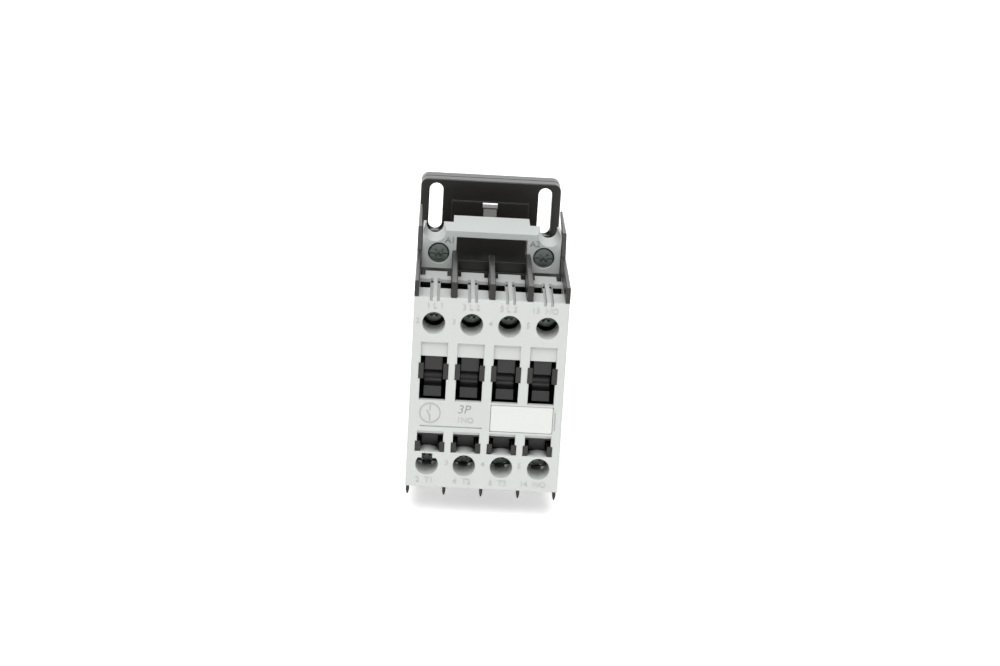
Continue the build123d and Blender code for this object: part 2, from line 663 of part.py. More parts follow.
with BuildPart() as load_screws:
    clamp_screws(LOWER_SCREWS, SCREW_HEAD_RADIUS, CLAMP_FRONT, SCREW_END)
save(load_screws, "load_screws")


# ---- Contact housing: floor, barriers, fins and snap hooks -----------------------------------

FLOOR_X = INNER_X - FITTING
FLOOR_Z = (INNER_BOTTOM_Z + FITTING, INNER_TOP_Z - FITTING)
FIN_FOOT_Z = FRONT_TOP_Z + FITTING
WING_X = WIDTH / 2 - WING
BARRIER_FRONT = FRONT - 2.0
LUG_FRONT = PLATE_TOP + 4.8
STOP_FRONT = FRONT - SLEEVE_LENGTH - 0.2
ARC_FRONT = FRONT - 3.2
ARC_WALL = 0.8
ARC_WALL_Z = BRIDGE_HALF_Z + 0.8
HOOK_X = COLUMN_X + RUNNING          # inner face of a hook, from its window's middle
LOWER_FIN_Z = FRONT_BOTTOM_Z - LOWER_FIN_DROP
LOWER_FIN_X = [-WIDTH / 2 + 0.7, -POLE_PITCH, 0.0, POLE_PITCH, WIDTH / 2 - 0.7]
SIDE_LUG_X = WIDTH / 2 - 2.2


def hooks(level, length):
    """A pair of snap hooks in each window, whose barbs turn outwards."""
    z = (level - length / 2, level + length / 2)
    inner, outer = HOOK_X, HOOK_X + HOOK_THICK
    barb_h = (FRONT - 0.85, FRONT - 0.3)
    for side in (-1, 1):
        arm = [x + side * (inner + outer) / 2 for x in CONTACT_X]
        blocks(arm, HOOK_THICK, (FLOOR_TOP, barb_h[1]), z)
        barb = [x + side * (inner + outer + HOOK_BARB) / 2 for x in CONTACT_X]
        blocks(barb, HOOK_THICK + HOOK_BARB, barb_h, z)


with BuildPart() as contact_housing:
    block((-WIDTH / 2, WIDTH / 2), (PLATE_BACK, PLATE_TOP), (FRONT_BOTTOM_Z, FRONT_TOP_Z))
    block((-FLOOR_X, FLOOR_X), (PLATE_TOP, FLOOR_TOP), FLOOR_Z)
    frame(WIDTH / 2, BOX_HALF_Z, SKIRT_WALL, (BOX_TOP, PLATE_BACK))

    # barriers between the poles, which come out through the top as fins
    blocks(BARRIER_X, BARRIER, (FLOOR_TOP, BARRIER_FRONT), FLOOR_Z)
    for x in BARRIER_X:
        back = FIN_BACK if x else CENTRE_FIN_BACK
        side_profile(
            [
                (FRONT, FIN_FOOT_Z),
                (FRONT, FIN_TOP_Z),
                (back, FIN_TOP_Z),
                (back, FIN_FOOT_Z),
                (PLATE_TOP - 1, BOX_HALF_Z),
                (BARRIER_FRONT, BOX_HALF_Z - 0.5),
                (BARRIER_FRONT, FIN_FOOT_Z),
            ],
            (x - FIN / 2, x + FIN / 2),
        )
    # outer wings, which step up beside the coil terminals and reach back as a slender arm
    wing = [
        (FRONT, FIN_FOOT_Z),
        (FRONT, FIN_TOP_Z),
        (FIN_BACK + 1, FIN_TOP_Z),
        (FIN_BACK - 2, WING_TOP_Z),
        (WING_BACK + 0.5, WING_TOP_Z),
        (WING_BACK, WING_TOP_Z - 0.5),
        (WING_BACK + 0.4, WING_TOP_Z - WING_ARM),
        (WING_ARM_FRONT, WING_TOP_Z - WING_ARM - 0.3),
        (BOX_TOP - 2, WING_TOP_Z - 5.5),
        (BOX_TOP - 2, BOX_HALF_Z + 0.4),
        (BOX_TOP, BOX_HALF_Z + 0.4),
        (BOX_TOP, BOX_HALF_Z - 1),
        (PLATE_TOP, BOX_HALF_Z - 1),
        (PLATE_TOP, FIN_FOOT_Z),
    ]
    for x in ((-WIDTH / 2, -WING_X), (WING_X, WIDTH / 2)):
        side_profile(wing, x)
    for side in (-1, 1):
        with BuildSketch(Plane.XY.offset(BOX_HALF_Z + 1)) as taper:
            with BuildLine():
                inner = side * WING_X
                Polyline((inner, -BOX_TOP - 6), (inner + side * 0.6, -WING_BACK + 1),
                         (inner, -WING_BACK + 1), close=True)
            make_face()
        extrude(taper.sketch, amount=WING_TOP_Z, mode=Mode.SUBTRACT)
    crests = contact_housing.edges().filter_by(Axis.Y)
    chamfer([edge for edge in crests if edge.center().Z > FIN_TOP_Z - 0.01], BROKEN_EDGE)
    # a ledge between the inner fins, and the lugs beside each fin
    ledge_x = POLE_PITCH - FIN / 2
    block((-ledge_x, ledge_x), (PLATE_TOP - 5.8, PLATE_TOP - 1.5), (BOX_HALF_Z, 27.5))
    lugs = [x + side * (FIN + LUG) / 2 for x in BARRIER_X for side in (-1, 1)]
    blocks(lugs + [-SIDE_LUG_X, SIDE_LUG_X], LUG, (PLATE_TOP, LUG_FRONT), (BOX_HALF_Z - 0.5, FRONT_TOP_Z - 0.1))

    # short fins below, thinned towards their lower edge
    for x in LOWER_FIN_X:
        with BuildSketch(Plane.XZ.offset(PLATE_BACK)) as fin:
            with BuildLine():
                half = LOWER_FIN / 2
                top, knee, tip = INNER_BOTTOM_Z + 0.2, LOWER_FIN_Z + 1.2, LOWER_FIN_Z
                Polyline((x - half, top), (x - half, knee), (x - 0.2, tip), (x + 0.2, tip),
                         (x + half, knee), (x + half, top), close=True)
            make_face()
        extrude(fin.sketch, amount=BARRIER_FRONT - PLATE_BACK)

    # seats under the terminals, and the hooks that hold the front housing
    seat_top = BAR_BACK + TERMINAL_STEP
    for screw_z in (UPPER_SCREW_Z, LOWER_SCREW_Z):
        side = 1 if screw_z > 0 else -1
        seat_z = sorted((screw_z - side * 2.8, screw_z + side * TERMINAL_HALF_Z))
        blocks(SCREW_X, TERMINAL_WIDTH, (FLOOR_TOP, seat_top), seat_z)
        # a wire stop behind each terminal, and the end wall of each arc chamber
        stop_z = sorted((screw_z - side * (CLAMP_HALF_Z + 0.2), screw_z - side * (CLAMP_HALF_Z + 0.9)))
        block((-FLOOR_X, FLOOR_X), (TERMINAL_FRONT + 0.3, STOP_FRONT), stop_z)
        arc_z = sorted((side * ARC_WALL_Z, side * (ARC_WALL_Z + ARC_WALL)))
        block((-FLOOR_X, FLOOR_X), (FLOOR_TOP, ARC_FRONT), arc_z)
        blocks(CONTACT_X, BAR_WIDTH + 2 * FITTING, (FLOOR_TOP, BAR_FRONT + FITTING), arc_z, Mode.SUBTRACT)
    blocks(CONTACT_X, BAR_WIDTH, (FLOOR_TOP, BAR_BACK), (TIP_Z - 1, TIP_Z + 1))
    blocks(CONTACT_X, BAR_WIDTH, (FLOOR_TOP, BAR_BACK), (-TIP_Z - 1, -TIP_Z + 1))
    hooks(UPPER_HOOK_Z, UPPER_HOOK_LENGTH)
    hooks(LOWER_HOOK_Z, LOWER_HOOK_LENGTH)
    rounds(UPPER_SCREWS + LOWER_SCREWS, SCREW_RADIUS + 0.3, (SCREW_END - 0.5, seat_top), Mode.SUBTRACT)

    # stepped bars behind the lower windows, between the hooks
    bar_top, bar_step = LOWER_WINDOW_TOP_Z - 1.05, LOWER_WINDOW_TOP_Z - 2.25
    bar_low = LOWER_SCREW_Z + CLAMP_HALF_Z + 0.9
    bar_back = TERMINAL_FRONT + 0.6
    bar_wide = 2 * HOOK_X - 0.8
    block((-FLOOR_X, FLOOR_X), (BAR_FRONT + 0.4, FRONT - 3), (bar_step, bar_top))
    sleeve_top = LOWER_SCREW_Z + HOLE / 2 + SLEEVE_WALL + 0.2
    blocks(CONTACT_X, bar_wide, (bar_back, FRONT - 5.5), (sleeve_top, bar_step))
    blocks(CONTACT_X, bar_wide, (bar_back, STOP_FRONT), (bar_low, bar_step))

    # openings for the carrier's columns and bosses for the case screws
    column = COLUMN_WIDTH + 2 * RUNNING
    column_z = (-COLUMN_HALF_Z - RUNNING, COLUMN_HALF_Z + RUNNING)
    blocks(CONTACT_X, column, (PLATE_BACK - 1, FLOOR_TOP), column_z, Mode.SUBTRACT)
    rounds(CASE_SCREWS, CASE_SCREW_RADIUS + 1.5, (BOX_TOP, PLATE_BACK))
    rounds(CASE_SCREWS, CASE_SCREW_RADIUS + 0.05, (BOX_TOP, 46.0), Mode.SUBTRACT)
save(contact_housing, "contact_housing")

with BuildPart() as case_screws:
    rounds(CASE_SCREWS, CASE_HEAD_RADIUS, (0.4, 2.2))
    rounds(CASE_SCREWS, CASE_SCREW_RADIUS, (2.2, 45.0))
    for x, z in CASE_SCREWS:
        block((x - 1.4, x + 1.4), (0.4, 1.4), (z - 0.35, z + 0.35), Mode.SUBTRACT)
        block((x - 0.35, x + 0.35), (0.4, 1.4), (z - 1.4, z + 1.4), Mode.SUBTRACT)
save(case_screws, "case_screws")


# ---- Front housing and label plate ---------------------------------------------------------

WALL_BACK = FRONT - FRONT_WALL
ENTRY_H = (FRONT - ENTRY_FRONT - ENTRY_DEPTH, FRONT - ENTRY_FRONT)
PAD_BACK = FRONT - 2.3
RECESS = 0.95

with BuildPart() as front_housing:
    block((-WIDTH / 2, WIDTH / 2), (PLATE_TOP, FRONT), (FRONT_BOTTOM_Z, FRONT_TOP_Z))
    fillet(front_housing.faces().sort_by(Axis.Y)[0].edges(), 2 * MOULDED_EDGE)
    block((-INNER_X, INNER_X), (PLATE_TOP, WALL_BACK), (INNER_BOTTOM_Z, INNER_TOP_Z), Mode.SUBTRACT)

    # slots for the fins, wider where the lugs stand beside them
    top_z = (INNER_TOP_Z - 1, FRONT_TOP_Z + 1)
    bottom_z = (FRONT_BOTTOM_Z - 1, INNER_BOTTOM_Z + 0.4)
    blocks(BARRIER_X, FIN + 2 * FITTING, (PLATE_TOP, WALL_BACK), top_z, Mode.SUBTRACT)
    lug_h = (PLATE_TOP, LUG_FRONT + FITTING)
    blocks(BARRIER_X, FIN + 2 * LUG + 2 * FITTING, lug_h, top_z, Mode.SUBTRACT)
    blocks((-SIDE_LUG_X - 0.1, SIDE_LUG_X + 0.1), 1.5, lug_h, top_z, Mode.SUBTRACT)
    blocks(LOWER_FIN_X, LOWER_FIN + 2 * FITTING, (PLATE_TOP, WALL_BACK), bottom_z, Mode.SUBTRACT)
    blocks((-WIDTH / 2 + 0.1, WIDTH / 2 - 0.1), 1.0, (PLATE_TOP, WALL_BACK), bottom_z, Mode.SUBTRACT)

    # wire entries each side of a post, at both ends
    for end_z, post_z in (
        (top_z, (INNER_TOP_Z - POST_DEEP, FRONT_TOP_Z)),
        ((FRONT_BOTTOM_Z - 1, INNER_BOTTOM_Z + 1), (FRONT_BOTTOM_Z, INNER_BOTTOM_Z + POST_DEEP)),
    ):
        for side in (-1, 1):
            entry_x = [x + side * (POST + ENTRY_WIDTH) / 2 for x in SCREW_X]
            blocks(entry_x, ENTRY_WIDTH, ENTRY_H, end_z, Mode.SUBTRACT)
        blocks(SCREW_X, POST, (ENTRY_H[0], WALL_BACK), post_z)
    groove_x = [x + side * POST_GROOVE_X for x in SCREW_X for side in (-1, 1)]
    groove_z = (FRONT_TOP_Z - POST_GROOVE_DEEP, FRONT_TOP_Z + 1)
    blocks(groove_x, POST_GROOVE, (FRONT - 20, FRONT), groove_z, Mode.SUBTRACT)

    # windows with a step at the top, and recesses for the hooks' barbs
    half = WINDOW_WIDTH / 2
    blocks(CONTACT_X, WINDOW_WIDTH, (PAD_BACK, WALL_BACK), (WINDOW_TOP_Z - WINDOW_LEDGE, WINDOW_TOP_Z + 0.6))
    for top, ledge, bottom, level, length in (
        (WINDOW_TOP_Z, WINDOW_LEDGE, WINDOW_BOTTOM_Z, UPPER_HOOK_Z, UPPER_HOOK_LENGTH),
        (LOWER_WINDOW_TOP_Z, LOWER_WINDOW_LEDGE, LOWER_WINDOW_BOTTOM_Z, LOWER_HOOK_Z, LOWER_HOOK_LENGTH),
    ):
        blocks(CONTACT_X, WINDOW_WIDTH, (PAD_BACK - 1, FRONT), (bottom, top - ledge), Mode.SUBTRACT)
        blocks(CONTACT_X, WINDOW_WIDTH, (FRONT - RECESS, FRONT), (bottom, top), Mode.SUBTRACT)
        barb = 2 * (HOOK_X + HOOK_THICK + HOOK_BARB + FITTING)
        barb_z = (level - length / 2 - FITTING, level + length / 2 + FITTING)
        blocks(CONTACT_X, barb, (FRONT - RECESS, FRONT), barb_z, Mode.SUBTRACT)

    # sleeves that guide the screwdriver, and the keyed one at the lower left
    rounds(UPPER_SCREWS + LOWER_SCREWS, HOLE / 2 + SLEEVE_WALL, (FRONT - SLEEVE_LENGTH, FRONT - 0.6))
    sleeve_h = (FRONT - SLEEVE_LENGTH - 1, FRONT)
    rounds(UPPER_SCREWS + LOWER_SCREWS[1:], HOLE / 2, sleeve_h, Mode.SUBTRACT)
    with BuildSketch(Plane.XZ.offset(sleeve_h[0])):
        with Locations(LOWER_SCREWS[0]):
            Circle(HOLE / 2)
        with Locations((SCREW_X[0], LOWER_SCREW_Z + HOLE / 2)):
            Rectangle(HOLE, 2 * KEY_DROP, mode=Mode.SUBTRACT)
        with Locations((SCREW_X[0], LOWER_SCREW_Z + HOLE / 2 - KEY_DROP)):
            Rectangle(KEY_WIDTH, 2 * KEY_DROP + 0.3)
    extrude(amount=sleeve_h[1] - sleeve_h[0], mode=Mode.SUBTRACT)

    face = front_housing.faces().filter_by(Plane.XZ).sort_by(Axis.Y)[0]
    fillet([edge for wire in face.inner_wires() for edge in wire.edges()], MOULDED_EDGE)

    # the label's recess, the groove beside it and the rule under the blank panel
    label_h = (FRONT - LABEL_DEEP - 0.1, FRONT)
    gap_x = (LABEL_X[0] - FITTING, LABEL_X[1] + FITTING)
    block(gap_x, label_h, (LABEL_Z[0] - FITTING, LABEL_Z[1] + FITTING), Mode.SUBTRACT)
    block(TAB_X, (FRONT - TAB_DEEP, FRONT), TAB_Z, Mode.SUBTRACT)
    block(RULE_X, (FRONT - RULE_DEEP, FRONT), RULE_Z, Mode.SUBTRACT)
save(front_housing, "front_housing")

with BuildPart() as label_plate:
    block(LABEL_X, (FRONT - LABEL_DEEP - 0.1, FRONT - 0.1), LABEL_Z)
    fillet(label_plate.edges().filter_by(Axis.Y), 0.4)
save(label_plate, "label_plate")


# ---- Coil terminal block, its clamps, screws and leads ---------------------------------------

COIL_BACK = COIL_FRONT - COIL_DEEP
COIL_SCREWS = [(-COIL_SCREW_X, COIL_SCREW_Z), (COIL_SCREW_X, COIL_SCREW_Z)]
COIL_END_X = (COIL_INNER_X + COIL_OUTER_X) / 2
COIL_END = COIL_OUTER_X - COIL_INNER_X
COIL_CAVITY_TOP = 30.1
LEAD_TOP = COIL_BACK + 5.2           # front of the terminal plate
LEAD_THICK = 1.0
COIL_CLAMP_BACK = LEAD_TOP + 1.4
COIL_CLAMP_FRONT = COIL_CLAMP_BACK + CLAMP_THICK
LEAD_LEVEL = 24.2

with BuildPart() as coil_terminal_block:
    ends = (-COIL_END_X, COIL_END_X)
    body_h = (COIL_BACK, COIL_FRONT)
    blocks(ends, COIL_END, body_h, (COIL_BOTTOM_Z, COIL_TOP_Z))
    block((-COIL_OUTER_X + 4, COIL_OUTER_X - 4), body_h, (COIL_BAR_Z, COIL_TOP_Z))
    block((-COIL_TONGUE_X, COIL_TONGUE_X), (COIL_TONGUE_BACK, COIL_FRONT), (COIL_BAR_Z, COIL_TOP_Z))
    # feet that stand on the magnet box
    blocks((-17.0, 17.0), 6.0, (COIL_BACK, BOX_TOP), (BOX_HALF_Z, COIL_BOTTOM_Z))
    # hollow for the terminal, open at the back, with a wire entry on the inner side
    cavity = COIL_END - 2 * COIL_WALL
    cavity_h = (COIL_BACK - 1, COIL_FRONT - COIL_WALL)
    blocks(ends, cavity, cavity_h, (COIL_BOTTOM_Z + 0.95, COIL_CAVITY_TOP), Mode.SUBTRACT)
    entry_h = (LEAD_TOP - 0.6, COIL_CLAMP_BACK + 2.6)
    entry_x = (-COIL_INNER_X - COIL_WALL / 2, COIL_INNER_X + COIL_WALL / 2)
    blocks(entry_x, COIL_WALL + 1, entry_h, (24.8, 29.4), Mode.SUBTRACT)
    rounds(COIL_SCREWS, COIL_HOLE / 2, (COIL_CLAMP_FRONT - 0.2, COIL_FRONT), Mode.SUBTRACT)
    # funnels over the panel screws, with a level bottom and narrower at the back
    for x in (-NOTCH_X, NOTCH_X):
        for radius, plane_h in ((NOTCH_BACK_RADIUS, COIL_BACK), (NOTCH_RADIUS, COIL_FRONT)):
            with BuildSketch(Plane.XZ.offset(plane_h)):
                with Locations((x, NOTCH_BOTTOM_Z + NOTCH_TALL / 2)):
                    SlotOverall(NOTCH_TALL, 2 * radius, rotation=90)
        loft(mode=Mode.SUBTRACT)
save(coil_terminal_block, "coil_terminal_block")

with BuildPart() as coil_leads:
    plate = (LEAD_TOP - LEAD_THICK, LEAD_TOP)
    for x in (-COIL_SCREW_X, COIL_SCREW_X):
        block((x - 3.4, x + 3.4), plate, (LEAD_LEVEL, COIL_CAVITY_TOP - 0.3))
    top = LEAD_LEVEL + LEAD_THICK
    blocks((-LEAD_X, LEAD_X), LEAD_WIDTH, (LEAD_H - 0.5, LEAD_TOP), (LEAD_LEVEL, top))
    blocks((-LEAD_X, LEAD_X), LEAD_WIDTH, (LEAD_H - 0.5, LEAD_H + 0.5), (FLANGE_Z + 0.5, top))
    rounds(COIL_SCREWS, SCREW_RADIUS + 0.05, (LEAD_TOP - 2, LEAD_TOP + 1), Mode.SUBTRACT)
save(coil_leads, "coil_leads")

with BuildPart() as coil_clamps:
    clamp_plates(COIL_SCREWS, 3.4, 2.2, COIL_CLAMP_BACK)
save(coil_clamps, "coil_clamps")

with BuildPart() as coil_screws:
    clamp_screws(COIL_SCREWS, 2.95, COIL_CLAMP_FRONT, COIL_BACK + 1)
save(coil_screws, "coil_screws")
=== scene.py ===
"""Four-pole contactor for a mounting rail: the finishes, raised marks and wound springs
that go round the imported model, with a plain studio and the camera."""

from math import cos, pi, radians, sin

import bmesh
import bpy
from mathutils import Matrix, Vector


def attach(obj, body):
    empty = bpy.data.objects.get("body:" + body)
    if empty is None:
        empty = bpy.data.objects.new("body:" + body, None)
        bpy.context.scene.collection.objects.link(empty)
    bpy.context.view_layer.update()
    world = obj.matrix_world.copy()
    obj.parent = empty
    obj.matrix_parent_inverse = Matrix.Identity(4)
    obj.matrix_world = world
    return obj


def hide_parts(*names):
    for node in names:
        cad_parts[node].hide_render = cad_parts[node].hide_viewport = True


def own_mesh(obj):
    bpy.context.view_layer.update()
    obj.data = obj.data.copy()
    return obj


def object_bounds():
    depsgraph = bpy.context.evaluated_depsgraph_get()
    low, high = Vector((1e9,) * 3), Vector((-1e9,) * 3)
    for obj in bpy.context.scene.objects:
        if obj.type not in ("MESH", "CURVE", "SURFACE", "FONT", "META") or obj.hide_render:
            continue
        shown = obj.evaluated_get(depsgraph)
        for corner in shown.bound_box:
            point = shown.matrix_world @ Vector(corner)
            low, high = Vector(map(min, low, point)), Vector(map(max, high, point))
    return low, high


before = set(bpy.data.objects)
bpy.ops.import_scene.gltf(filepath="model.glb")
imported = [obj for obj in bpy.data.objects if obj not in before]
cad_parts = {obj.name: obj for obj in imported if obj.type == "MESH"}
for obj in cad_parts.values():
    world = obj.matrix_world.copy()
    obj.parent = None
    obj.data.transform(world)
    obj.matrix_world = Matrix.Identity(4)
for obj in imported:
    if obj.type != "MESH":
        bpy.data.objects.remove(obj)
cad_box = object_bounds()
MM = 0.001


# ---- Studio: a lit white table under a ceiling softbox, with a bright rear wall ----------
# The part is held upright just above the table, so that the rail latch can pull out below.
# The table is opal and lit from below, so it keeps almost no shadow. The low rear wall
# lights the tops of the dark mouldings at a glancing angle.


def hex_rgb(code):
    """An sRGB hex colour as linear red, green and blue."""
    parts = [int(code[i : i + 2], 16) / 255 for i in (1, 3, 5)]
    return [c / 12.92 if c <= 0.04045 else ((c + 0.055) / 1.055) ** 2.4 for c in parts]


def add_node(tree, kind, links=None, **settings):
    """Add a node, set its attributes or its sockets, and link its inputs to other nodes."""
    new = tree.nodes.new(kind)
    for key, value in settings.items():
        if hasattr(new, key):
            setattr(new, key, value)
        else:
            new.inputs[key.replace("_", " ")].default_value = value
    for socket, source in (links or {}).items():
        tree.links.new(source, new.inputs[socket])
    return new


scene = bpy.context.scene
scene.view_settings.view_transform = "Standard"

SPREAD = 3.0                 # half the width of the table, in metres
TABLE_GLOW = 0.4             # light that comes up through the opal sheet
LATCH_ROOM = 3.8 * MM        # the rail latch pulls out this far below the base
floor_z = cad_box[0][2] - LATCH_ROOM
corners = ((-SPREAD, -SPREAD), (SPREAD, -SPREAD), (SPREAD, SPREAD), (-SPREAD, SPREAD))
floor_mesh = bpy.data.meshes.new("floor")
floor_mesh.from_pydata([(x, y, floor_z) for x, y in corners], [], [(0, 1, 2, 3)])
floor = bpy.data.objects.new("floor", floor_mesh)
scene.collection.objects.link(floor)
floor_paint = bpy.data.materials.new("opal_table_lit")
floor_paint.use_nodes = True
paint = floor_paint.node_tree.nodes["Principled BSDF"]
paint.inputs["Base Color"].default_value = (*hex_rgb("#f8f8f7"), 1)
paint.inputs["Roughness"].default_value = 0.95
paint.inputs["Emission Color"].default_value = (1, 1, 1, 1)
paint.inputs["Emission Strength"].default_value = TABLE_GLOW
floor_mesh.materials.append(floor_paint)

TENT = 0.27                  # light from most of the tent
REAR_WALL = 1.6              # more from the low part of the wall behind
world = bpy.data.worlds.new("light_tent")
scene.world = world
world.use_nodes = True
sky = world.node_tree
sky.nodes.clear()
direction = add_node(sky, "ShaderNodeTexCoord").outputs["Generated"]
along = add_node(sky, "ShaderNodeSeparateXYZ", {"Vector": direction})
# The wall is brightest below 0.4 of the way up, and fades out at its top and its sides.
low_part = add_node(sky, "ShaderNodeMapRange", {"Value": along.outputs["Z"]},
                    interpolation_type="SMOOTHSTEP", From_Min=0.75, From_Max=0.4)
rear_part = add_node(sky, "ShaderNodeMapRange", {"Value": along.outputs["Y"]},
                     interpolation_type="SMOOTHSTEP", From_Min=0.15, From_Max=0.6)
both = add_node(sky, "ShaderNodeMath", operation="MULTIPLY")
sky.links.new(low_part.outputs["Result"], both.inputs[0])
sky.links.new(rear_part.outputs["Result"], both.inputs[1])
strength = add_node(sky, "ShaderNodeMapRange", {"Value": both.outputs["Value"]},
                    To_Min=TENT, To_Max=REAR_WALL)
glow = add_node(sky, "ShaderNodeBackground", {"Strength": strength.outputs["Result"]}, Color=(1, 1, 1, 1))
add_node(sky, "ShaderNodeOutputWorld", {"Surface": glow.outputs["Background"]})

SOFTBOX_POWER = 2.8
SOFTBOX_SPREAD = radians(50)
SOFTBOX_AIM = Vector((0.08, 0.52, -0.85))

softbox = bpy.data.lights.new("ceiling_softbox", "SUN")
softbox.energy = SOFTBOX_POWER
softbox.angle = SOFTBOX_SPREAD
ceiling = bpy.data.objects.new("ceiling_softbox", softbox)
ceiling.matrix_world = SOFTBOX_AIM.to_track_quat("-Z", "Y").to_matrix().to_4x4()
scene.collection.objects.link(ceiling)


# ---- Camera: in front, a little above and to the left, on a long lens --------------------
# It looks along +Y and slightly down, and is rolled by a few degrees.

CAMERA_PLACE = Vector((-0.018522, -0.671660, 0.200533))
CAMERA_AIM = Vector((0.03443, 0.95309, -0.30072))
CAMERA_ROLL = radians(3.48)
CAMERA_LENS = 76.97          # on a 36 mm frame

camera = bpy.data.objects.new("camera", bpy.data.cameras.new("camera"))
camera.data.lens = CAMERA_LENS
camera.data.sensor_width = 36.0
camera.data.clip_start = 0.01
right = CAMERA_AIM.cross(Vector((0, 0, 1))).normalized()
up = right.cross(CAMERA_AIM)
turned_right = cos(CAMERA_ROLL) * right + sin(CAMERA_ROLL) * up
turned_up = cos(CAMERA_ROLL) * up - sin(CAMERA_ROLL) * right
axes = Matrix((turned_right, turned_up, -CAMERA_AIM)).transposed()
camera.matrix_world = Matrix.Translation(CAMERA_PLACE) @ axes.to_4x4()
scene.collection.objects.link(camera)
scene.camera = camera


# ---- Front housing: pale grey polyamide, moulded in a spark-eroded tool ------------------
# One shell over the four poles, with the windows of the contacts and the label's recess.

EDGE = 0.25 * MM             # how far the light rolls over a moulded edge
FLOW = 16 * MM               # how far apart the tone drifts, as the melt cools unevenly
GRAIN_DEPTH = 0.02 * MM
GLOSS_DRIFT = 0.06


def new_material(name):
    """An empty material, its node tree and its object coordinates."""
    material = bpy.data.materials.new(name)
    material.use_nodes = True
    tree = material.node_tree
    tree.nodes.clear()
    return material, tree, add_node(tree, "ShaderNodeTexCoord").outputs["Object"]


def two_tone(tree, factor, colour, shade):
    """A colour that drifts between two hex tones."""
    tone = add_node(tree, "ShaderNodeMix", {"Factor": factor}, data_type="RGBA")
    tone.inputs["A"].default_value = (*hex_rgb(colour), 1)
    tone.inputs["B"].default_value = (*hex_rgb(shade), 1)
    return tone.outputs["Result"]


def plastic(name, colour, shade, roughness, grain_mm=0.25, relief=0.3):
    """Moulded plastic: a fine grain, soft edges and a slight change of tone."""
    material, tree, place = new_material(name)
    flow = add_node(tree, "ShaderNodeTexNoise", {"Vector": place}, Scale=1 / FLOW, Detail=3.0)
    grain = add_node(tree, "ShaderNodeTexNoise", {"Vector": place}, Scale=1 / (grain_mm * MM), Detail=2.0)
    gloss = add_node(tree, "ShaderNodeMapRange", {"Value": grain.outputs["Fac"]},
                     To_Min=roughness - GLOSS_DRIFT, To_Max=roughness + GLOSS_DRIFT)
    edge = add_node(tree, "ShaderNodeBevel", samples=4, Radius=EDGE)
    bump = add_node(tree, "ShaderNodeBump", {
        "Height": grain.outputs["Fac"],
        "Normal": edge.outputs["Normal"],
    }, Strength=relief, Distance=GRAIN_DEPTH)
    shader = add_node(tree, "ShaderNodeBsdfPrincipled", {
        "Base Color": two_tone(tree, flow.outputs["Fac"], colour, shade),
        "Roughness": gloss.outputs["Result"],
        "Normal": bump.outputs["Normal"],
    })
    add_node(tree, "ShaderNodeOutputMaterial", {"Surface": shader.outputs["BSDF"]})
    return material


def finish_nodes(material, *nodes):
    """Give CAD nodes one material."""
    for name in nodes:
        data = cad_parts[name].data
        data.materials.clear()
        data.materials.append(material)


# A matt surface that spreads the light, with a soft line of light along each edge. The grain
# is drawn at a quarter of a millimetre, several times the real one, so that it shows.
pale_grey = plastic("polyamide_moulded_pale_grey", "#c1c4c2", "#bdc0bd", 0.5)
finish_nodes(pale_grey, "front_housing")


# ---- Raised marks on the front housing ----------------------------------------------------
# Terminal numbers and a plain contact symbol, moulded a tenth of a millimetre proud.
# Each word is a mesh before it is turned to face the front. The pole count is pad printed.

FRONT_Y = cad_box[0][1]      # the front face is the foremost part
CAPITALS = 0.7               # height of a capital as a share of the font's size
RISE = 0.1                   # how far a moulded mark stands proud, in mm
SUNK = 0.05                  # and how far its foot is let into the face, in mm


def raised_text(target, words, cap_height, x, z, y, lean=0.0, rise=RISE):
    """Add upright text, centred at (x, z) in mm, that stands proud of a front face."""
    curve = bpy.data.curves.new(words, "FONT")
    curve.body = words
    curve.size = cap_height * MM / CAPITALS
    curve.align_x = "CENTER"
    curve.align_y = "CENTER"
    curve.shear = lean
    curve.extrude = (rise + SUNK) * MM / 2
    curve.resolution_u = 4
    holder = bpy.data.objects.new(words, curve)
    scene.collection.objects.link(holder)
    mesh = bpy.data.meshes.new_from_object(holder)
    bpy.data.objects.remove(holder)
    bpy.data.curves.remove(curve)
    middle = Matrix.Translation((x * MM, y - (rise - SUNK) * MM / 2, z * MM))
    mesh.transform(middle @ Matrix.Rotation(radians(90), 4, "X"))
    target.from_mesh(mesh)
    bpy.data.meshes.remove(mesh)


def raised_ring(target, x, z, radius, width, y, rise=RISE):
    """Add a flat ring that stands proud of a front face."""
    steps = 64
    turns = [2 * pi * n / steps for n in range(steps)]
    inner = radius - width
    rows = []
    for reach, depth in ((inner, SUNK), (inner, -rise), (radius, -rise), (radius, SUNK)):
        row = []
        for turn in turns:
            across = x + reach * cos(turn)
            height = z + reach * sin(turn)
            row.append(target.verts.new((across * MM, y + depth * MM, height * MM)))
        rows.append(row)
    for row, following in zip(rows, rows[1:] + rows[:1]):
        for n in range(steps):
            m = (n + 1) % steps
            target.faces.new((row[n], row[m], following[m], following[n]))


def raised_bar(target, x, z, length, width, angle, y, rise=RISE):
    """Add a straight bar, turned by an angle in the face, that stands proud of it."""
    size = Matrix.Diagonal((length * MM, (rise + SUNK) * MM, width * MM, 1))
    middle = Matrix.Translation((x * MM, y - (rise - SUNK) * MM / 2, z * MM))
    turned = Matrix.Rotation(-radians(angle), 4, "Y")
    bmesh.ops.create_cube(target, size=1.0, matrix=middle @ turned @ size)


def finished_piece(name, source, material, body):
    """Make an object of a bmesh or a mesh, finish it and let it ride on a CAD body."""
    mesh = source
    if isinstance(source, bmesh.types.BMesh):
        bmesh.ops.recalc_face_normals(source, faces=source.faces)
        mesh = bpy.data.meshes.new(name)
        source.to_mesh(mesh)
        source.free()
    mesh.materials.clear()
    mesh.materials.append(material)
    piece = bpy.data.objects.new(name, mesh)
    scene.collection.objects.link(piece)
    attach(piece, body)
    return piece


